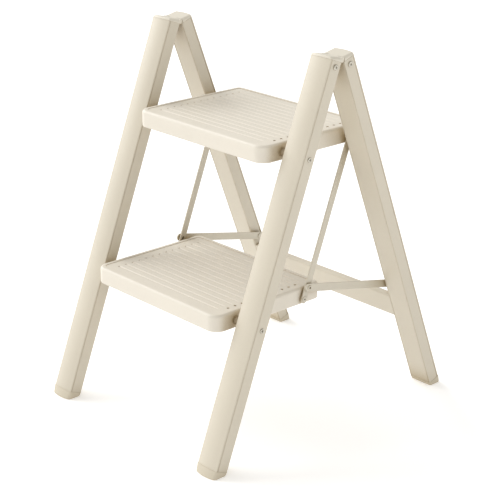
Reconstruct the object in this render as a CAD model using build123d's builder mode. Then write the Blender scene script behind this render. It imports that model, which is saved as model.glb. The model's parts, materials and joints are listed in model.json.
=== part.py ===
from build123d import *

import os
from math import acos, atan2, cos, degrees, hypot, radians, sin, tan

# Folding two-step stool.  Millimetres, +Z up, the climber stands on the -Y side and looks along +Y.
# The origin is on the floor, midway between the four feet.
# Every leg is an extruded tube with one flat face and one crowned face.  Places on a leg are given
# by `along`, measured up the leg from the top hinge axis, and `depth`, measured from the leg's flat
# face towards its crown.

FRONT = -1
REAR = 1
LEFT = -1
RIGHT = 1
SIDES = {"left": LEFT, "right": RIGHT}

# ---- frame ----
LEG_TILT = 21.0                # lean of each leg from upright when the stool is open
HINGE_HEIGHT = 630.85          # top hinge axis above the floor
FOLDED_GAP = 3.0               # between the flat faces of a front and a rear leg when folded
OUTER_X = 216.0                # outer faces of the legs
LEG_WIDTH = 45.0
LEG_DEPTH = 26.3
LEG_X = OUTER_X - LEG_WIDTH / 2
INNER_X = OUTER_X - LEG_WIDTH
LEG_TOP = -4.6                 # ends of the extrusion, measured along the leg
LEG_BOTTOM = -670.5

# ---- leg section ----
HALF_WIDTH = LEG_WIDTH / 2
GROOVE_LOW = 19.9              # V groove between the side flange and the crown
GROOVE_HIGH = 21.9
GROOVE_DEPTH = 1.2
SHOULDER_RADIUS = 1.6
CROWN_ANGLE = 14.5             # slope of the crown where it meets the shoulders
LINE_INSET = 1.7               # fine line near each edge of the flat face
LINE_WIDTH = 1.8
LINE_DEPTH = 1.1
SIDE_WALL = 1.8
FLAT_WALL = 1.7
FLAT_CORNER = 0.6              # rounding of the flat face's edges
FLANGE_DEPTH = 10.5            # fasteners sit on this line of the side flange

# ---- treads ----
TREAD_HALF_WIDTH = 155.2
TREAD_LENGTH = 233.0
TREAD_THICKNESS = 28.5
FRONT_CORNER = 20.0
REAR_CORNER = 13.0
TREAD_EDGE = 5.0
TREAD_SKIRT = 3.2
DECK_THICKNESS = 3.6
PIVOT_BEHIND_FRONT = 42.8      # tread pivot, from the tread's front edge and from its top
PIVOT_BELOW_TOP = 15.2
LOWER_PIVOT = -437.3           # tread pivots along the front legs
UPPER_PIVOT = -161.2
TREADS = {"lower": LOWER_PIVOT, "upper": UPPER_PIVOT}
PANEL_MARGIN = 9.5             # raised rim round the ribbed panel
PANEL_DROP = 0.9
GROOVE_PITCH = 14.8
GROOVE_COUNT = 13
FIRST_GROOVE = 28.2            # from the tread's front edge
TREAD_GROOVE_RADIUS = 3.0
TREAD_GROOVE_DEPTH = 0.8
TREAD_GROOVE_HALF = 127.0
HOLE_X = 137.0
HOLE_RADIUS = 2.3
RIB_THICKNESS = 2.2
RIB_GAP_X = 51.0
RIBS_ALONG = 5
RIB_PLACES = (60.0, 103.0, 146.0, 206.0)   # ribs along X, from the tread's front edge
BOSS_RADIUS = 8.0

# ---- folding linkage ----
TIE_RADIUS = 147.0             # tread pivot to tie pin
TIE_DROP_ANGLE = 1.5           # tie pin below the level of the tread pivot, when open
TIE_TO_BRACE = 21.0            # tie pin to brace rivet, up the tie bar
BRACE_PIVOT = -467.0           # brace pivot along the rear legs
TIE_WIDTH = 12.0
BRACE_WIDTH = 13.5
TIE_OVERHANG = 1.6             # of a bar's round end, beyond a circle about its pin
BRACE_OVERHANG = 2.2
BAR_EDGE = 0.6
TIE_IN, TIE_OUT = 158.2, 161.0
BRACE_IN, BRACE_OUT = 162.7, 165.3
RUNNING = 0.1                  # radial clearance where something turns on a pin
APART = 0.3                    # gap between parts that pass each other
OVERCUT = 1.0                  # how far a cutting shape runs past what it cuts

# ---- fasteners ----
BOLT_RADIUS = 3.0
BOLT_HEAD_RADIUS = 4.1
BOLT_HEAD_HEIGHT = 1.5
BOLT_TIP = 135.0               # inner end of the tread bolts
NUT_RADIUS = 5.8
NUT_HEIGHT = 5.0
SPACER_RADIUS = 5.0
SLEEVE_RADIUS = 5.0
BUSH_RADIUS = 4.6
BUSH_FLANGE_RADIUS = 7.2
BUSH_FLANGE = 1.0
BOSS_END = 141.0               # inner end of the tread pivot bosses
PIN_RADIUS = 2.5
PIN_HEAD_RADIUS = 4.6
PIN_HEAD_HEIGHT = 1.2
PIN_BOSS_RADIUS = 6.0
PIN_WASHER_RADIUS = 5.2
PIN_BOSS_END = 148.0
RIVET_RADIUS = 3.0
RIVET_HEAD_RADIUS = 4.3
RIVET_HEAD_HEIGHT = 1.4
RIVET_COLLAR_RADIUS = 5.2
RIVET_HOLE_RADIUS = 1.9        # the brace rivets are hollow
PIN_HOLE_RADIUS = 1.5          # the tie pins are drilled from their outer ends
PIN_HOLE_DEPTH = 6.0
SCREW_ALONG = -14.1            # cap screws along the leg
SCREW_RADIUS = 1.9
SCREW_LENGTH = 12.0
SCREW_HEAD_RADIUS = 4.6
SCREW_HEAD_HEIGHT = 2.0
RECESS_WIDTH = 1.3             # cross recess in screw and bolt heads
RECESS_LENGTH = 4.6

# ---- top caps and hinges ----
CAP_TOP = 3.5                  # height at the flat face, measured along the leg
CAP_SLOPE = 9.1                # fall of the top towards the crown
CAP_SIDE_EDGE = 5.0            # rounding of the top's two side edges
CAP_CROWN_EDGE = 1.2           # and of its crown edge
CAP_SEAM = 0.5                 # bevel round the cap where it meets the leg
PLUG_BOTTOM = -24.0
PLUG_FIT = 0.15
KNUCKLE_RADIUS = 4.2
HINGE_PIN_RADIUS = 2.0
REAR_KNUCKLE_HALF = 9.0
FRONT_KNUCKLE_START = 9.4
FRONT_KNUCKLE_END = 21.5
HINGE_PIN_HALF = 19.0          # the pin is closed in at both ends

# ---- feet ----
FOOT_GROWTH = 0.8
FOOT_EDGE = 1.6
SHOE_FLAT_CORNERS = (3.0, 12.0)       # corner radii where a shoe meets its leg, and at its lowest
SHOE_SHOULDERS = (SHOULDER_RADIUS, 10.0)
FOOT_PLUG_TOP = -640.0
FOOT_LOWEST = -695.0

# ---- cross plate ----
PLATE_TOP = -485.5
PLATE_BOTTOM = -530.5
PLATE_SHEET = 2.0
PLATE_FLANGE = 10.0
PLATE_BEND = 3.0
PLATE_RIVET_DEPTH = 5.8
PLATE_RIVET_EDGE = 11.0
PLATE_RIVET_RADIUS = 2.0
PLATE_HEAD_RADIUS = 3.4
PLATE_HEAD_HEIGHT = 1.4


# ---- places ----
def leg_up(facing):
    """Direction up a leg."""
    return Vector(0, -facing * sin(radians(LEG_TILT)), cos(radians(LEG_TILT)))


def leg_out(facing):
    """Direction from a leg's flat face to its crown."""
    return Vector(0, facing * cos(radians(LEG_TILT)), sin(radians(LEG_TILT)))


def on_leg(facing, depth, along, x=0.0):
    """A point on a leg."""
    hinge = Vector(x, 0, HINGE_HEIGHT)
    return hinge + leg_out(facing) * (FOLDED_GAP / 2 + depth) + leg_up(facing) * along


def leg_axis(facing):
    """Axis up a leg, for sorting its faces."""
    return Axis((0, 0, 0), leg_up(facing))


def leg_plane(facing, side, along):
    """Plane square to a leg: X across it, Y from its flat face to its crown, Z up the leg."""
    across = leg_out(facing).cross(leg_up(facing))
    return Plane(on_leg(facing, 0, along, side * LEG_X), x_dir=across, z_dir=leg_up(facing))


def cap_end_plane(facing, side):
    """Plane square to a cap's sloped top, on the flat face: X across the leg, Y down from the top."""
    fall = radians(CAP_SLOPE)
    across = leg_out(facing).cross(leg_up(facing))
    towards_crown = leg_out(facing) * cos(fall) - leg_up(facing) * sin(fall)
    return Plane(on_leg(facing, 0, CAP_TOP, side * LEG_X), x_dir=across, z_dir=towards_crown)


def side_plane(point, side, x):
    """Upright plane at a distance x from the middle, square to the X axis, facing outwards."""
    return Plane((side * x, point.Y, point.Z), x_dir=(0, side, 0), z_dir=(side, 0, 0))


def flange_point(facing, along):
    """A fastener's place on the side flange of a leg."""
    return on_leg(facing, FLANGE_DEPTH, along)


def tread_pivot(level):
    """Pivot point of a tread."""
    return flange_point(FRONT, TREADS[level])


def tie_pin(level):
    """Pin where a tie bar meets a tread."""
    drop = radians(TIE_DROP_ANGLE)
    return tread_pivot(level) + Vector(0, TIE_RADIUS * cos(drop), -TIE_RADIUS * sin(drop))


def brace_rivet_point():
    """Rivet where a brace bar meets its tie bar."""
    return tie_pin("lower") + leg_up(FRONT) * TIE_TO_BRACE


def brace_pivot_point():
    """Pivot of a brace bar on its rear leg."""
    return flange_point(REAR, BRACE_PIVOT)


def save(piece, name):
    """Label a finished piece and write it as a STEP file."""
    piece.part.label = name
    export_step(piece.part, f"parts/{name}.step")


# ---- shared profiles ----
def leg_outline(shoulder_radius):
    """Closed outline of a leg about its middle: flat face on Y = 0, crown at LEG_DEPTH."""
    slope = radians(CROWN_ANGLE)
    crown_half = HALF_WIDTH - shoulder_radius * (1 - sin(slope))
    crown_edge = LEG_DEPTH - crown_half * tan(slope / 2)
    shoulder_start = crown_edge - shoulder_radius * cos(slope)
    base = Polyline((-HALF_WIDTH, shoulder_start), (-HALF_WIDTH, 0),
                    (HALF_WIDTH, 0), (HALF_WIDTH, shoulder_start))
    TangentArc(base @ 1, (crown_half, crown_edge), tangent=(0, 1))
    ThreePointArc((crown_half, crown_edge), (0, LEG_DEPTH), (-crown_half, crown_edge))
    TangentArc(base @ 0, (-crown_half, crown_edge), tangent=(0, 1))


with BuildSketch() as plain_section:
    with BuildLine():
        leg_outline(SHOULDER_RADIUS)
    make_face()

with BuildSketch() as bore_section:
    bore_half = HALF_WIDTH - SIDE_WALL
    neck_half = bore_half - GROOVE_DEPTH
    with BuildLine():
        bore_base = Polyline((-neck_half, GROOVE_HIGH), (-neck_half, GROOVE_LOW - GROOVE_DEPTH),
                             (-bore_half, GROOVE_LOW - 2 * GROOVE_DEPTH), (-bore_half, FLAT_WALL),
                             (bore_half, FLAT_WALL), (bore_half, GROOVE_LOW - 2 * GROOVE_DEPTH),
                             (neck_half, GROOVE_LOW - GROOVE_DEPTH), (neck_half, GROOVE_HIGH))
        ThreePointArc(bore_base @ 1, (0, LEG_DEPTH - FLAT_WALL), bore_base @ 0)
    make_face()

with BuildSketch() as plug_section:
    add(bore_section.sketch)
    offset(amount=-PLUG_FIT)

shoe_sections = []
for shoulder, flat_corner in zip(SHOE_SHOULDERS, SHOE_FLAT_CORNERS):
    with BuildSketch() as shoe_section:
        with BuildLine():
            leg_outline(shoulder)
        make_face()
        offset(amount=FOOT_GROWTH, kind=Kind.INTERSECTION)
        fillet(shoe_section.vertices().group_by(Axis.Y)[0], flat_corner)
    shoe_sections.append(shoe_section.sketch)

with BuildSketch() as leg_section:
    add(plain_section.sketch)
    fillet(leg_section.vertices().group_by(Axis.Y)[0], FLAT_CORNER)
    line_half = LINE_WIDTH / 2
    line_x = HALF_WIDTH - LINE_INSET
    groove_middle = (GROOVE_LOW + GROOVE_HIGH) / 2
    for edge in (LEFT, RIGHT):
        Polygon((edge * HALF_WIDTH, GROOVE_LOW), (edge * (HALF_WIDTH - GROOVE_DEPTH), groove_middle),
                (edge * HALF_WIDTH, GROOVE_HIGH), align=None, mode=Mode.SUBTRACT)
        Polygon((edge * (line_x - line_half), 0), (edge * line_x, LINE_DEPTH),
                (edge * (line_x + line_half), 0), align=None, mode=Mode.SUBTRACT)
    add(bore_section.sketch, mode=Mode.SUBTRACT)


def tread_outline(inset):
    """A tread's rounded outline about its middle, drawn in by an inset."""
    with BuildSketch() as outline:
        Rectangle(2 * (TREAD_HALF_WIDTH - inset), TREAD_LENGTH - 2 * inset)
        fillet(outline.vertices().group_by(Axis.Y)[0], FRONT_CORNER - inset)
        fillet(outline.vertices().group_by(Axis.Y)[-1], REAR_CORNER - inset)
    return outline.sketch


skirt_outline = tread_outline(0)
hollow_outline = tread_outline(TREAD_SKIRT)
panel_outline = tread_outline(PANEL_MARGIN)


# ---- shared shapes, added to the part being built ----
def rod(side, point, start, end, radius, mode=Mode.ADD):
    """A cylinder along X through a point, between two distances from the middle."""
    with Locations(side_plane(point, side, start)):
        Cylinder(radius, end - start, align=(Align.CENTER, Align.CENTER, Align.MIN), mode=mode)


def cross_recess(side, point, face_x):
    """A cross recess in the head of a screw."""
    with Locations(side_plane(point, side, face_x)):
        Box(RECESS_LENGTH, RECESS_WIDTH, RECESS_WIDTH * 2, mode=Mode.SUBTRACT)
        Box(RECESS_WIDTH, RECESS_LENGTH, RECESS_WIDTH * 2, mode=Mode.SUBTRACT)


# ---- legs ----
def make_leg(facing, side, name):
    """An extruded leg tube, drilled for everything that fastens to it."""
    with BuildPart() as leg:
        with BuildSketch(leg_plane(facing, side, LEG_BOTTOM)):
            add(leg_section.sketch)
        extrude(amount=LEG_TOP - LEG_BOTTOM)
        rod(side, flange_point(facing, SCREW_ALONG), LEG_X, OUTER_X + OVERCUT,
            SCREW_RADIUS + RUNNING / 2, mode=Mode.SUBTRACT)
        if facing == FRONT:
            for level in TREADS:
                rod(side, tread_pivot(level), INNER_X - OVERCUT, OUTER_X + OVERCUT,
                    BOLT_RADIUS + RUNNING / 2, mode=Mode.SUBTRACT)
        else:
            rod(side, brace_pivot_point(), INNER_X - OVERCUT, LEG_X, PIN_RADIUS + RUNNING / 2,
                mode=Mode.SUBTRACT)
            for point in plate_rivet_points():
                rod(side, point, INNER_X - OVERCUT, LEG_X, PLATE_RIVET_RADIUS + RUNNING / 2,
                    mode=Mode.SUBTRACT)
    save(leg, name)


def make_top_cap(facing, side, name):
    """A top cap: a plug in the leg, a band over its end and its half of the hinge."""
    hinge = Vector(0, 0, HINGE_HEIGHT)
    middle = side * LEG_X
    ends = HALF_WIDTH + OVERCUT
    if facing == FRONT:
        cut_ranges = [(-FRONT_KNUCKLE_START, FRONT_KNUCKLE_START)]
        knuckle_ranges = [(FRONT_KNUCKLE_START, FRONT_KNUCKLE_END),
                          (-FRONT_KNUCKLE_END, -FRONT_KNUCKLE_START)]
        bore = HINGE_PIN_RADIUS + RUNNING / 2
    else:
        cut_ranges = [(REAR_KNUCKLE_HALF, ends), (-ends, -REAR_KNUCKLE_HALF)]
        knuckle_ranges = [(-REAR_KNUCKLE_HALF, REAR_KNUCKLE_HALF)]
        bore = HINGE_PIN_RADIUS + RUNNING
    with BuildPart() as cap:
        with BuildSketch(leg_plane(facing, side, LEG_TOP)):
            add(plain_section.sketch)
        extrude(amount=CAP_TOP - LEG_TOP)
        with BuildSketch(cap_end_plane(facing, side)) as end_shape:
            with Locations((0, LEG_DEPTH / 2)):
                Rectangle(LEG_WIDTH, LEG_DEPTH)
            fillet(end_shape.vertices().group_by(Axis.Y)[0], CAP_SIDE_EDGE)
        extrude(amount=2 * LEG_DEPTH, both=True, mode=Mode.INTERSECT)
        chamfer(cap.faces().sort_by(leg_axis(facing))[0].edges(), CAP_SEAM)
        sloped_top = cap.faces().sort_by(leg_axis(facing))[-1]
        fillet(sloped_top.edges().sort_by(Axis((0, 0, 0), leg_out(facing)))[-1], CAP_CROWN_EDGE)
        stop_face = Plane(origin=(0, 0, 0), x_dir=(1, 0, 0), z_dir=(0, facing, 0)).offset(RUNNING)
        split(bisect_by=stop_face, keep=Keep.TOP)
        for start, end in cut_ranges:
            rod(RIGHT, hinge, middle + start, middle + end, KNUCKLE_RADIUS + APART, mode=Mode.SUBTRACT)
        for start, end in knuckle_ranges:
            rod(RIGHT, hinge, middle + start, middle + end, KNUCKLE_RADIUS)
        bore_half = HINGE_PIN_HALF + RUNNING
        rod(RIGHT, hinge, middle - bore_half, middle + bore_half, bore, mode=Mode.SUBTRACT)
        with BuildSketch(leg_plane(facing, side, PLUG_BOTTOM)):
            add(plug_section.sketch)
        extrude(amount=LEG_TOP - PLUG_BOTTOM)
        rod(side, flange_point(facing, SCREW_ALONG), OUTER_X - SCREW_LENGTH - OVERCUT, OUTER_X,
            SCREW_RADIUS + RUNNING / 2, mode=Mode.SUBTRACT)
    save(cap, name)


def make_foot(facing, side, name):
    """A foot: a plug in the leg and a shoe cut level with the floor."""
    with BuildPart() as foot:
        for along, section in zip((LEG_BOTTOM, FOOT_LOWEST), shoe_sections):
            with BuildSketch(leg_plane(facing, side, along)):
                add(section)
        loft()
        fillet(foot.faces().sort_by(leg_axis(facing))[-1].edges(), FOOT_GROWTH / 2)
        split(bisect_by=Plane.XY, keep=Keep.TOP)
        fillet(foot.faces().sort_by(Axis.Z)[0].edges(), FOOT_EDGE)
        with BuildSketch(leg_plane(facing, side, LEG_BOTTOM)):
            add(plug_section.sketch)
        extrude(amount=FOOT_PLUG_TOP - LEG_BOTTOM)
    save(foot, name)


def make_cap_screws(facing, name):
    """The two screws that hold a pair of top caps in their legs."""
    point = flange_point(facing, SCREW_ALONG)
    with BuildPart() as screws:
        for side in SIDES.values():
            rod(side, point, OUTER_X, OUTER_X + SCREW_HEAD_HEIGHT, SCREW_HEAD_RADIUS)
        round_outer_heads(screws, SCREW_HEAD_HEIGHT / 2)
        for side in SIDES.values():
            rod(side, point, OUTER_X - SCREW_LENGTH, OUTER_X, SCREW_RADIUS)
            cross_recess(side, point, OUTER_X + SCREW_HEAD_HEIGHT)
    save(screws, name)


def round_outer_heads(piece, radius):
    """Round the rims of the outermost heads on both sides of the stool."""
    rims = piece.edges().group_by(Axis.X)
    fillet(rims[0] + rims[-1], radius)


# ---- tread pivots ----
def make_tread_bolts(level, name):
    """The two bolts that a tread turns on, each right through its leg."""
    point = tread_pivot(level)
    with BuildPart() as bolts:
        for side in SIDES.values():
            rod(side, point, OUTER_X, OUTER_X + BOLT_HEAD_HEIGHT, BOLT_HEAD_RADIUS)
        round_outer_heads(bolts, BOLT_HEAD_HEIGHT / 2)
        for side in SIDES.values():
            rod(side, point, BOLT_TIP, OUTER_X, BOLT_RADIUS)
            cross_recess(side, point, OUTER_X + BOLT_HEAD_HEIGHT)
    save(bolts, name)


def make_tread_nuts(level, name):
    """The lock nuts on the inner ends of a tread's bolts."""
    point = tread_pivot(level)
    with BuildPart() as nuts:
        for side in SIDES.values():
            with BuildSketch(side_plane(point, side, BOSS_END - APART - NUT_HEIGHT)):
                RegularPolygon(NUT_RADIUS, side_count=6)
                Circle(BOLT_RADIUS + RUNNING / 2, mode=Mode.SUBTRACT)
            extrude(amount=NUT_HEIGHT)
    save(nuts, name)


def make_rings(level_points, start, end, outer, inner, name):
    """Plain rings along X at the given points, on both sides of the stool."""
    with BuildPart() as rings:
        for point in level_points:
            for side in SIDES.values():
                rod(side, point, start, end, outer)
                rod(side, point, start - OVERCUT, end + OVERCUT, inner, mode=Mode.SUBTRACT)
    save(rings, name)


def make_tread_bushes(level, name):
    """The flanged bushes that line a tread's pivot bosses."""
    point = tread_pivot(level)
    with BuildPart() as bushes:
        for side in SIDES.values():
            rod(side, point, BOSS_END, TREAD_HALF_WIDTH, BUSH_RADIUS)
            rod(side, point, TREAD_HALF_WIDTH, TREAD_HALF_WIDTH + BUSH_FLANGE, BUSH_FLANGE_RADIUS)
            rod(side, point, BOSS_END, OUTER_X, BOLT_RADIUS + RUNNING, mode=Mode.SUBTRACT)
    save(bushes, name)


# ---- treads ----
def make_tread(level, name):
    """A moulded tread: skirt, deck with a grooved panel, ribs below and pivot bosses."""
    pivot = tread_pivot(level)
    pin = tie_pin(level)
    top = pivot.Z + PIVOT_BELOW_TOP
    front = pivot.Y - PIVOT_BEHIND_FRONT
    middle_y = front + TREAD_LENGTH / 2
    bottom = top - TREAD_THICKNESS
    rib_height = TREAD_THICKNESS - DECK_THICKNESS
    with BuildPart() as tread:
        with BuildSketch(Plane((0, middle_y, bottom))):
            add(skirt_outline)
        extrude(amount=TREAD_THICKNESS)
        fillet(tread.faces().sort_by(Axis.Z)[-1].edges(), TREAD_EDGE)
        fillet(tread.faces().sort_by(Axis.Z)[0].edges(), TREAD_SKIRT / 2 - RUNNING)

        # hollow underside with stiffening ribs
        with BuildSketch(Plane((0, middle_y, bottom))):
            add(hollow_outline)
        extrude(amount=rib_height, mode=Mode.SUBTRACT)
        rib_middle_z = bottom + rib_height / 2
        with Locations((0, middle_y, rib_middle_z)):
            with GridLocations(RIB_GAP_X, 0, RIBS_ALONG, 1):
                Box(RIB_THICKNESS, TREAD_LENGTH - TREAD_SKIRT, rib_height)
        for place in RIB_PLACES:
            with Locations((0, front + place, rib_middle_z)):
                Box(2 * TREAD_HALF_WIDTH - TREAD_SKIRT, RIB_THICKNESS, rib_height)

        # panel, grooves and drain holes
        with BuildSketch(Plane((0, middle_y, top))):
            add(panel_outline)
        extrude(amount=-PANEL_DROP, mode=Mode.SUBTRACT)
        rim = tread.faces().sort_by(Axis.Z)[-1]
        fillet(rim.inner_wires()[0].edges(), PANEL_DROP / 2)
        groove_axis_z = top - PANEL_DROP - TREAD_GROOVE_DEPTH + TREAD_GROOVE_RADIUS
        for index in range(GROOVE_COUNT):
            groove_y = front + FIRST_GROOVE + index * GROOVE_PITCH
            rod(RIGHT, Vector(0, groove_y, groove_axis_z), -TREAD_GROOVE_HALF, TREAD_GROOVE_HALF,
                TREAD_GROOVE_RADIUS, mode=Mode.SUBTRACT)
        with BuildSketch(Plane((HOLE_X, middle_hole_y(front), top))):
            with GridLocations(0, GROOVE_PITCH, 1, GROOVE_COUNT - 2):
                Circle(HOLE_RADIUS)
        extrude(amount=-2 * DECK_THICKNESS, mode=Mode.SUBTRACT)

        # bosses for the pivots and the tie pins
        for side in SIDES.values():
            rod(side, pivot, BOSS_END, TREAD_HALF_WIDTH - TREAD_SKIRT / 2, BOSS_RADIUS)
            rod(side, pivot, BOSS_END - OVERCUT, OUTER_X, BUSH_RADIUS, mode=Mode.SUBTRACT)
            rod(side, pin, PIN_BOSS_END, TREAD_HALF_WIDTH - TREAD_SKIRT / 2, PIN_BOSS_RADIUS)
            rod(side, pin, PIN_BOSS_END - OVERCUT, OUTER_X, PIN_RADIUS, mode=Mode.SUBTRACT)
    save(tread, name)


def middle_hole_y(front):
    """Middle of the row of drain holes."""
    return front + FIRST_GROOVE + (GROOVE_COUNT - 1) / 2 * GROOVE_PITCH


# ---- linkage ----
def make_bar(side, start_point, end_point, width, overhang, inner_x, outer_x, bores, name):
    """A flat bar with round ends, in a plane square to X, bored at (point, radius) pairs."""
    run = end_point - start_point
    middle = start_point + run * 0.5
    with BuildPart() as bar:
        with BuildSketch(Plane((side * inner_x, middle.Y, middle.Z), x_dir=run, z_dir=(side, 0, 0))):
            SlotCenterToCenter(run.length + 2 * overhang, width)
        extrude(amount=outer_x - inner_x)
        fillet(bar.faces().group_by(Axis.X)[0].edges(), BAR_EDGE)
        fillet(bar.faces().group_by(Axis.X)[-1].edges(), BAR_EDGE)
        for point, radius in bores:
            rod(side, point, inner_x - OVERCUT, outer_x + OVERCUT, radius, mode=Mode.SUBTRACT)
    save(bar, name)


def make_tie_pins(level, name):
    """The pins that hold the tie bars to a tread, with their tails closed over inside it."""
    point = tie_pin(level)
    head_start = TIE_OUT + RUNNING
    with BuildPart() as pins:
        for side in SIDES.values():
            rod(side, point, head_start, head_start + PIN_HEAD_HEIGHT, PIN_HEAD_RADIUS)
        round_outer_heads(pins, PIN_HEAD_HEIGHT / 2)
        for side in SIDES.values():
            rod(side, point, PIN_BOSS_END, head_start, PIN_RADIUS)
            rod(side, point, PIN_BOSS_END - PIN_HEAD_HEIGHT, PIN_BOSS_END, PIN_HEAD_RADIUS)
            rod(side, point, head_start + PIN_HEAD_HEIGHT - PIN_HOLE_DEPTH,
                head_start + PIN_HEAD_HEIGHT, PIN_HOLE_RADIUS, mode=Mode.SUBTRACT)
    save(pins, name)


def make_brace_rivet(side, name):
    """The collared rivet at the front end of a brace bar."""
    point = brace_rivet_point()
    with BuildPart() as rivet:
        rod(side, point, BRACE_OUT, BRACE_OUT + RIVET_HEAD_HEIGHT, RIVET_HEAD_RADIUS)
        outer = rivet.faces().sort_by(Axis.X)[-1 if side == RIGHT else 0]
        fillet(outer.edges(), RIVET_HEAD_HEIGHT / 2)
        rod(side, point, TIE_OUT + APART, BRACE_OUT, RIVET_RADIUS)
        rod(side, point, TIE_OUT + APART, BRACE_IN, RIVET_COLLAR_RADIUS)
        rod(side, point, TIE_OUT, BRACE_OUT + RIVET_HEAD_HEIGHT, RIVET_HOLE_RADIUS, mode=Mode.SUBTRACT)
    save(rivet, name)


def make_brace_pivots(name):
    """The rivets that the brace bars turn on, set in the inner flanges of the rear legs."""
    point = brace_pivot_point()
    head_end = BRACE_IN - RUNNING
    tail_start = INNER_X + SIDE_WALL
    with BuildPart() as pivots:
        for side in SIDES.values():
            rod(side, point, head_end - PIN_HEAD_HEIGHT, head_end, PIN_HEAD_RADIUS)
            rod(side, point, head_end, tail_start, PIN_RADIUS)
            rod(side, point, tail_start, tail_start + PIN_HEAD_HEIGHT, PIN_HEAD_RADIUS)
    save(pivots, name)


# ---- cross plate ----
def plate_rivet_points():
    """The two rivets at each end of the cross plate."""
    return [on_leg(REAR, PLATE_RIVET_DEPTH, PLATE_TOP - PLATE_RIVET_EDGE),
            on_leg(REAR, PLATE_RIVET_DEPTH, PLATE_BOTTOM + PLATE_RIVET_EDGE)]


def make_cross_plate(name):
    """A pressed channel between the rear legs, with a tab turned back at each end."""
    height = PLATE_TOP - PLATE_BOTTOM
    corner = on_leg(REAR, 0, (PLATE_TOP + PLATE_BOTTOM) / 2, -INNER_X)
    section = Plane(corner, x_dir=leg_out(REAR), z_dir=(1, 0, 0))
    with BuildPart() as plate:
        with BuildSketch(section):
            with BuildLine():
                FilletPolyline((PLATE_FLANGE, -height / 2), (0, -height / 2), (0, height / 2),
                               (PLATE_FLANGE, height / 2), radius=PLATE_BEND)
                Line((PLATE_FLANGE, height / 2), (PLATE_FLANGE, -height / 2))
            make_face()
        extrude(amount=2 * INNER_X)
        with BuildSketch(section.offset(PLATE_SHEET)):
            with BuildLine():
                inside = height / 2 - PLATE_SHEET
                FilletPolyline((PLATE_FLANGE, -inside), (PLATE_SHEET, -inside), (PLATE_SHEET, inside),
                               (PLATE_FLANGE, inside), radius=PLATE_BEND - PLATE_SHEET)
                Line((PLATE_FLANGE, inside), (PLATE_FLANGE, -inside))
            make_face()
        extrude(amount=2 * (INNER_X - PLATE_SHEET), mode=Mode.SUBTRACT)
        for point in plate_rivet_points():
            for side in SIDES.values():
                rod(side, point, INNER_X - 2 * PLATE_SHEET, INNER_X + OVERCUT,
                    PLATE_RIVET_RADIUS + RUNNING / 2, mode=Mode.SUBTRACT)
    save(plate, name)


def make_plate_rivets(name):
    """The rivets through the cross plate's tabs into the rear legs."""
    tab_face = INNER_X - PLATE_SHEET
    tail_start = INNER_X + SIDE_WALL
    with BuildPart() as rivets:
        for point in plate_rivet_points():
            for side in SIDES.values():
                rod(side, point, tab_face - PLATE_HEAD_HEIGHT, tab_face, PLATE_HEAD_RADIUS)
                rod(side, point, tab_face, tail_start, PLATE_RIVET_RADIUS)
                rod(side, point, tail_start, tail_start + PLATE_HEAD_HEIGHT, PLATE_HEAD_RADIUS)
    save(rivets, name)


def make_hinge_pin(side, name):
    """The steel pin through the knuckles of one pair of top caps."""
    hinge = Vector(0, 0, HINGE_HEIGHT)
    with BuildPart() as pin:
        rod(side, hinge, LEG_X - HINGE_PIN_HALF, LEG_X + HINGE_PIN_HALF, HINGE_PIN_RADIUS)
    save(pin, name)


# ---- all pieces ----
os.makedirs("parts", exist_ok=True)

for side_name, side in SIDES.items():
    for end_name, facing in (("front", FRONT), ("rear", REAR)):
        make_leg(facing, side, f"{end_name}_leg_{side_name}")
        make_top_cap(facing, side, f"{end_name}_top_cap_{side_name}")
        make_foot(facing, side, f"{end_name}_foot_{side_name}")
    make_hinge_pin(side, f"hinge_pin_{side_name}")
    tie_bores = [(tie_pin("lower"), PIN_RADIUS + RUNNING),
                 (tie_pin("upper"), PIN_RADIUS + RUNNING),
                 (brace_rivet_point(), RIVET_RADIUS + RUNNING)]
    make_bar(side, tie_pin("lower"), tie_pin("upper"), TIE_WIDTH, TIE_OVERHANG, TIE_IN, TIE_OUT,
             tie_bores, f"tie_bar_{side_name}")
    brace_bores = [(brace_rivet_point(), RIVET_RADIUS + RUNNING / 2),
                   (brace_pivot_point(), PIN_RADIUS + RUNNING)]
    make_bar(side, brace_rivet_point(), brace_pivot_point(), BRACE_WIDTH, BRACE_OVERHANG, BRACE_IN,
             BRACE_OUT, brace_bores, f"brace_bar_{side_name}")
    make_brace_rivet(side, f"brace_rivet_{side_name}")

make_cap_screws(FRONT, "front_cap_screws")
make_cap_screws(REAR, "rear_cap_screws")

pivots = [tread_pivot(level) for level in TREADS]
make_rings(pivots, INNER_X + SIDE_WALL, OUTER_X - SIDE_WALL, SLEEVE_RADIUS, BOLT_RADIUS + RUNNING / 2,
           "leg_sleeves")
make_rings(pivots, TREAD_HALF_WIDTH + BUSH_FLANGE + RUNNING, INNER_X, SPACER_RADIUS,
           BOLT_RADIUS + RUNNING / 2, "tread_pivot_spacers")
make_rings([brace_pivot_point()], BRACE_OUT + RUNNING, INNER_X, SPACER_RADIUS,
           PIN_RADIUS + RUNNING / 2, "brace_pivot_spacers")

for level in TREADS:
    make_tread(level, f"{level}_tread")
    make_tread_bolts(level, f"{level}_tread_bolts")
    make_tread_nuts(level, f"{level}_tread_nuts")
    make_tread_bushes(level, f"{level}_tread_bushes")
    make_tie_pins(level, f"{level}_tie_pins")
    make_rings([tie_pin(level)], TREAD_HALF_WIDTH, TIE_IN - RUNNING, PIN_WASHER_RADIUS,
               PIN_RADIUS + RUNNING / 2, f"{level}_tie_washers")

make_brace_pivots("brace_pivot_rivets")
make_cross_plate("rear_cross_plate")
make_plate_rivets("cross_plate_rivets")


# ---- travel of the joints ----
def turned(point, angle):
    """A (rearward, upward) pair turned about the top hinge axis."""
    return (point[0] * cos(angle) - point[1] * sin(angle), point[0] * sin(angle) + point[1] * cos(angle))


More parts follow.
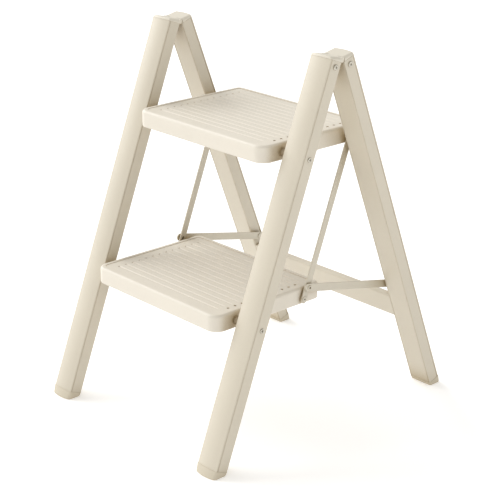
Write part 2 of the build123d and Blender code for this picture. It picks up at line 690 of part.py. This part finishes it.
def print_travel():
    """Print the joint places, and the turn of each joint while the legs close."""
    fold = radians(2 * LEG_TILT)
    flange = FOLDED_GAP / 2 + FLANGE_DEPTH
    start = radians(LEG_TILT - TIE_DROP_ANGLE)
    brace_open = brace_pivot_point() - brace_rivet_point()
    length = brace_open.length
    pivot = (-flange, LOWER_PIVOT)
    brace_pivot = (flange, BRACE_PIVOT)
    # the folded triangle: tread pivot, tie pin lifted by the brace rivet's offset, brace pivot
    lifted = (pivot[0], pivot[1] + TIE_TO_BRACE)
    reach = hypot(brace_pivot[0] - lifted[0], brace_pivot[1] - lifted[1])
    bearing = atan2(brace_pivot[1] - lifted[1], brace_pivot[0] - lifted[0])
    corner = acos((reach ** 2 + TIE_RADIUS ** 2 - length ** 2) / (2 * reach * TIE_RADIUS))
    end = bearing + corner
    rivet = (lifted[0] + TIE_RADIUS * cos(end), lifted[1] + TIE_RADIUS * sin(end))
    brace_end = atan2(rivet[1] - brace_pivot[1], rivet[0] - brace_pivot[0])
    open_rivet = (lifted[0] + TIE_RADIUS * cos(start), lifted[1] + TIE_RADIUS * sin(start))
    open_pivot = turned(brace_pivot, fold)
    brace_start = atan2(open_rivet[1] - open_pivot[1], open_rivet[0] - open_pivot[0]) - fold
    brace_turn = (brace_start - brace_end) % radians(360)
    print("hinge", (0, 0, HINGE_HEIGHT), "fold", degrees(fold))
    for level in TREADS:
        print(level, "tread pivot", tuple(tread_pivot(level)), "tie pin", tuple(tie_pin(level)))
    print("tread turn", degrees(end - start), "ratio", (end - start) / fold)
    print("brace pivot", tuple(brace_pivot_point()), "rivet", tuple(brace_rivet_point()))
    print("brace length", length, "turn", degrees(brace_turn), "ratio", brace_turn / fold)


print_travel()
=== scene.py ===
import json
from math import radians

import bpy
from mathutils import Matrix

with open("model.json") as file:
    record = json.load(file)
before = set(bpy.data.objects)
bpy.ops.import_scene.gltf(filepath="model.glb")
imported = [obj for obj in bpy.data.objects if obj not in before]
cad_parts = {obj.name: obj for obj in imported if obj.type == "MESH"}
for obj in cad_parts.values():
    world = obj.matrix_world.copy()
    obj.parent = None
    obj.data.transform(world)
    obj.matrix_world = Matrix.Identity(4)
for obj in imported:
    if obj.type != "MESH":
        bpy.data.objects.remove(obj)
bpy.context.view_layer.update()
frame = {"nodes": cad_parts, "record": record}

# ---- camera, floor and light, in metres ----
CAMERA_PLACE = (1.7816, -1.6257, 1.1610)
CAMERA_PITCH = 20.335          # degrees below the horizon
CAMERA_AZIMUTH = 47.701        # degrees, 0 looks along +Y
SENSOR_WIDTH = 36.0            # millimetres
LENS = 109.4                   # millimetres
FLOOR_SIZE = 24.0
WORLD_COLOUR = (1.0, 0.985, 0.955)
WORLD_STRENGTH = 0.69
COOL_WHITE = (0.97, 0.985, 1.0)
WARM_WHITE = (1.0, 0.98, 0.95)

# soft lights: (azimuth it comes from, elevation, spread, strength, colour), angles in degrees,
# azimuth 0 is from -Y and negative is from -X
LIGHTS = {
    "key": (-76.0, 32.0, 54.0, 2.25, COOL_WHITE),
    "front_fill": (8.0, 2.0, 60.0, 0.04, WARM_WHITE),
}

# ---- colours, linear ----
CREAM_PAINT = (0.652, 0.594, 0.485)
CREAM_BAR = (0.640, 0.590, 0.487)
CREAM_TREAD = (0.772, 0.718, 0.622)
CREAM_CAP = (0.735, 0.685, 0.580)
CREAM_FOOT = (0.625, 0.565, 0.450)
ACETAL = (0.50, 0.43, 0.32)
ZINC = (0.54, 0.51, 0.44)
# the warm brown of the painted shade in corners and gaps
PAINTED_SHADE_TINT = (0.56, 0.46, 0.29)
FLOOR_COLOUR = (0.985, 0.985, 0.985)
WHITE = (1.0, 1.0, 1.0)
FLOOR_GLOW = 0.27              # the floor is lit more strongly than the stool

# ---- shared measures of the finishes, lengths in metres ----
PAINT_IOR = 1.5
PLASTIC_IOR = 1.49
PAINT_EDGE = 0.0009            # width of the paler edges, from wear and a painted edge highlight
PLASTIC_EDGE = 0.0012
PEEL_DEPTH = 0.00005           # of the paint's orange peel
TURNING_DEPTH = 0.00002        # of the turning marks in zinc-plated steel
CREVICE_REACH = 0.06
CREVICE_SHADE = (0.92, 0.3)    # ambient occlusion where a crevice begins, and where it is deepest
CREVICE_SAMPLES = 8
EDGE_TURN = (0.995, 0.86)      # agreement of the true and the rounded normal, off and on an edge
EDGE_SAMPLES = 6
NOISE_MIDDLE = (0.3, 0.7)      # the part of a noise's range that most of it falls in
WHOLE = (0.0, 1.0)             # the full range of a mask
MIX_COLOURS = (6, 7)           # the colour inputs of a Mix node
MIX_RESULT = 2                 # and its colour output


# ---- node helpers ----
class Surface:
    """A material under construction, with the few node patterns that every finish uses."""

    def __init__(self, name):
        self.material = bpy.data.materials.new(name)
        self.material.use_nodes = True
        self.nodes = self.material.node_tree.nodes
        self.links = self.material.node_tree.links
        self.shader = self.nodes["Principled BSDF"]
        self.place = self.nodes.new("ShaderNodeTexCoord").outputs["Object"]

    def stretched(self, scale):
        """Object coordinates scaled by a different amount along each axis."""
        mapping = self.nodes.new("ShaderNodeMapping")
        mapping.inputs["Scale"].default_value = scale
        self.links.new(self.place, mapping.inputs["Vector"])
        return mapping.outputs["Vector"]

    def noise(self, scale, detail=2.0, rough=0.5, place=None):
        """Noise from 0 to 1; scale is in cells per metre."""
        node = self.nodes.new("ShaderNodeTexNoise")
        node.inputs["Scale"].default_value = scale
        node.inputs["Detail"].default_value = detail
        node.inputs["Roughness"].default_value = rough
        self.links.new(place or self.place, node.inputs["Vector"])
        return node.outputs["Fac"]

    def remap(self, value, source, target):
        """A value stretched from one (start, end) range to another, and held within it."""
        node = self.nodes.new("ShaderNodeMapRange")
        node.inputs["From Min"].default_value = source[0]
        node.inputs["From Max"].default_value = source[1]
        node.inputs["To Min"].default_value = target[0]
        node.inputs["To Max"].default_value = target[1]
        self.links.new(value, node.inputs["Value"])
        return node.outputs["Result"]

    def maths(self, operation, first, second):
        """One arithmetic step; either input may be a number."""
        node = self.nodes.new("ShaderNodeMath")
        node.operation = operation
        for socket, value in zip(node.inputs, (first, second)):
            if isinstance(value, (int, float)):
                socket.default_value = value
            else:
                self.links.new(value, socket)
        return node.outputs["Value"]

    def mix(self, factor, first, second):
        """A mix of two colours; either may be a colour or another node's output."""
        node = self.nodes.new("ShaderNodeMix")
        node.data_type = "RGBA"
        self.links.new(factor, node.inputs["Factor"])
        for index, value in zip(MIX_COLOURS, (first, second)):
            if isinstance(value, tuple):
                node.inputs[index].default_value = (*value, 1.0)
            else:
                self.links.new(value, node.inputs[index])
        return node.outputs[MIX_RESULT]

    def edges(self, radius):
        """A mask that is 1 along sharp edges and 0 elsewhere."""
        rounded = self.nodes.new("ShaderNodeBevel")
        rounded.samples = EDGE_SAMPLES
        rounded.inputs["Radius"].default_value = radius
        normal = self.nodes.new("ShaderNodeNewGeometry").outputs["Normal"]
        product = self.nodes.new("ShaderNodeVectorMath")
        product.operation = "DOT_PRODUCT"
        self.links.new(rounded.outputs["Normal"], product.inputs[0])
        self.links.new(normal, product.inputs[1])
        return self.remap(product.outputs["Value"], EDGE_TURN, WHOLE)

    def crevices(self, strength, narrowness):
        """A mask that rises to a strength in corners and gaps. A narrow one keeps to the deepest."""
        node = self.nodes.new("ShaderNodeAmbientOcclusion")
        node.samples = CREVICE_SAMPLES
        node.inputs["Distance"].default_value = CREVICE_REACH
        depth = self.remap(node.outputs["AO"], CREVICE_SHADE, WHOLE)
        return self.maths("MULTIPLY", self.maths("POWER", depth, narrowness), strength)

    def bump(self, height, depth):
        """Bump from a height of 0 to 1, at its real depth in metres."""
        node = self.nodes.new("ShaderNodeBump")
        node.inputs["Distance"].default_value = depth
        self.links.new(height, node.inputs["Height"])
        return node.outputs["Normal"]

    def use(self, **outputs):
        """Connect outputs to the shader, by socket name with _ for a space."""
        for name, value in outputs.items():
            self.links.new(value, self.shader.inputs[name.replace("_", " ")])

    def set(self, **values):
        """Set the shader's own sockets, by name with _ for a space."""
        for name, value in values.items():
            self.shader.inputs[name.replace("_", " ")].default_value = value
        return self


def tinted(colour, tint):
    """A colour multiplied by another."""
    return tuple(a * b for a, b in zip(colour, tint))


def scaled(colour, factor):
    """A colour made lighter or darker."""
    return tuple(min(1.0, channel * factor) for channel in colour)


def clouded(surface, colour, scale, darker, lighter):
    """A colour that drifts between a darker and a lighter tone of itself."""
    clouds = surface.remap(surface.noise(scale, detail=3.0), NOISE_MIDDLE, WHOLE)
    return surface.mix(clouds, scaled(colour, darker), scaled(colour, lighter))


def with_painted_shade(surface, tone, colour, painted_shade):
    """A tone darkened towards a warm brown in corners and gaps, where ambient occlusion is deep:
    painted shade. The shade is a pair: its strength, 0 to 1, and narrowness.
    """
    return surface.mix(surface.crevices(*painted_shade), tone, tinted(colour, PAINTED_SHADE_TINT))


# ---- finishes ----
def powder_coat(name, colour, roughness, peel_scale, painted_shade):
    """Baked powder paint: faint orange peel, faint cloudiness, edges a little paler from wear and a
    painted edge highlight, and painted shade in corners and gaps.
    """
    s = Surface(name)
    tone = clouded(s, colour, 9.0, darker=0.975, lighter=1.015)
    flecks = s.remap(s.noise(420.0), (0.52, 0.74), (0.0, 0.35))
    tone = s.mix(flecks, tone, scaled(colour, 0.93))
    patchiness = s.remap(s.noise(55.0, detail=4.0), (0.35, 0.7), (0.25, 1.0))
    rubbed_edges_and_highlight = s.maths("MULTIPLY", s.edges(PAINT_EDGE), patchiness)
    # edges paler: wear from rubbing, patchy, and a painted edge highlight
    tone = s.mix(s.maths("MULTIPLY", rubbed_edges_and_highlight, 0.45), tone, scaled(colour, 1.10))
    smears = s.noise(30.0, detail=4.0, rough=0.6, place=s.stretched((1.0, 1.0, 0.22)))
    peel = s.noise(peel_scale, rough=0.45)
    s.use(
        Base_Color=with_painted_shade(s, tone, colour, painted_shade),
        Roughness=s.remap(smears, NOISE_MIDDLE, roughness),
        Normal=s.bump(peel, PEEL_DEPTH),
    )
    return s.set(IOR=PAINT_IOR).material


def moulded_plastic(name, colour, roughness, pebble_scale, pebble_depth, painted_shade):
    """Moulded plastic: a fine eroded texture, a little grime, edges a little paler from wear and a
    painted edge highlight, and painted shade in corners and gaps.
    """
    s = Surface(name)
    tone = clouded(s, colour, 7.0, darker=0.98, lighter=1.015)
    grime = s.remap(s.noise(85.0, detail=5.0, rough=0.62), (0.55, 0.8), (0.0, 0.3))
    tone = s.mix(grime, tone, scaled(colour, 0.91))
    worn_edges_and_highlight = s.maths("MULTIPLY", s.edges(PLASTIC_EDGE), 0.35)
    # edges paler: wear and a painted edge highlight
    tone = s.mix(worn_edges_and_highlight, tone, scaled(colour, 1.08))
    handling = s.noise(38.0, detail=4.0)
    pebble = s.noise(pebble_scale, detail=3.0, rough=0.55)
    s.use(
        Base_Color=with_painted_shade(s, tone, colour, painted_shade),
        Roughness=s.remap(handling, NOISE_MIDDLE, roughness),
        Normal=s.bump(pebble, pebble_depth),
    )
    return s.set(IOR=PLASTIC_IOR).material


def zinc_plate(name):
    """Bright zinc-plated steel with fine turning marks and a few dull patches."""
    s = Surface(name)
    turning = s.noise(900.0, place=s.stretched((0.15, 1.0, 1.0)))
    patches = s.noise(240.0, detail=3.0)
    dulled = s.remap(patches, (0.35, 0.7), WHOLE)
    s.use(
        Base_Color=s.mix(dulled, scaled(ZINC, 1.05), scaled(ZINC, 0.82)),
        Roughness=s.remap(patches, NOISE_MIDDLE, (0.09, 0.22)),
        Normal=s.bump(turning, TURNING_DEPTH),
    )
    return s.set(Metallic=1.0).material


def studio_floor(name):
    """A plain pale studio floor with a faint glow, which lights the stool from below."""
    s = Surface(name)
    clouds = s.noise(2.0, detail=3.0)
    s.use(Base_Color=s.mix(clouds, scaled(FLOOR_COLOUR, 0.995), FLOOR_COLOUR))
    s.set(Roughness=0.75, Emission_Color=(*WHITE, 1.0), Emission_Strength=FLOOR_GLOW)
    return s.material


# paints by material slot: (colour, roughness range, orange peel in cells per metre, painted shade in
# corners and gaps)
PAINTS = {
    "frame_paint": (CREAM_PAINT, (0.36, 0.44), 620.0, (0.9, 2.5)),
    "bar_paint": (CREAM_BAR, (0.33, 0.42), 900.0, (0.9, 1.5)),
}

# plastics by material slot: (colour, roughness range, pebbling in cells per metre, its depth,
# painted shade in corners and gaps)
PLASTICS = {
    "tread_plastic": (CREAM_TREAD, (0.42, 0.52), 1500.0, 0.00006, (1.0, 1.3)),
    "cap_plastic": (CREAM_CAP, (0.4, 0.5), 1900.0, 0.00004, (0.8, 2.0)),
    "foot_plastic": (CREAM_FOOT, (0.55, 0.68), 1300.0, 0.00008, (0.4, 1.5)),
    "bush_plastic": (ACETAL, (0.4, 0.5), 2200.0, 0.00002, (0.8, 1.0)),
}

finishes = {"zinc_steel": zinc_plate("zinc_steel")}
for slot, settings in PAINTS.items():
    finishes[slot] = powder_coat(slot, *settings)
for slot, settings in PLASTICS.items():
    finishes[slot] = moulded_plastic(slot, *settings)

for part in frame["record"]["subparts"]:
    node = frame["nodes"][part["node"]]
    node.data.materials.clear()
    node.data.materials.append(finishes[part["material_slot"]])


# ---- stage ----
def add_floor():
    """The pale floor that the stool stands on."""
    half = FLOOR_SIZE / 2
    mesh = bpy.data.meshes.new("floor")
    corners = [(-half, -half, 0), (half, -half, 0), (half, half, 0), (-half, half, 0)]
    mesh.from_pydata(corners, [], [(0, 1, 2, 3)])
    mesh.materials.append(studio_floor("floor"))
    floor = bpy.data.objects.new("floor", mesh)
    bpy.context.scene.collection.objects.link(floor)


def add_light(name, azimuth, elevation, spread, strength, colour):
    """A large, far softbox, as a sun with a wide disc."""
    light = bpy.data.lights.new(name, "SUN")
    light.angle = radians(spread)
    light.energy = strength
    light.color = colour
    lamp = bpy.data.objects.new(name, light)
    lamp.rotation_euler = (radians(90 - elevation), 0, radians(azimuth))
    bpy.context.scene.collection.objects.link(lamp)


def add_world():
    """Even studio light from all round."""
    world = bpy.data.worlds.new("studio")
    world.use_nodes = True
    background = world.node_tree.nodes["Background"]
    background.inputs["Color"].default_value = (*WORLD_COLOUR, 1.0)
    background.inputs["Strength"].default_value = WORLD_STRENGTH
    bpy.context.scene.world = world


def add_camera():
    """The camera, from the stool's front right."""
    lens = bpy.data.cameras.new("camera")
    lens.sensor_width = SENSOR_WIDTH
    lens.lens = LENS
    camera = bpy.data.objects.new("camera", lens)
    camera.location = CAMERA_PLACE
    camera.rotation_euler = (radians(90 - CAMERA_PITCH), 0, radians(CAMERA_AZIMUTH))
    bpy.context.scene.collection.objects.link(camera)
    bpy.context.scene.camera = camera


add_floor()
add_world()
add_camera()
for light_name, settings in LIGHTS.items():
    add_light(light_name, *settings)
bpy.context.scene.view_settings.view_transform = "Standard"
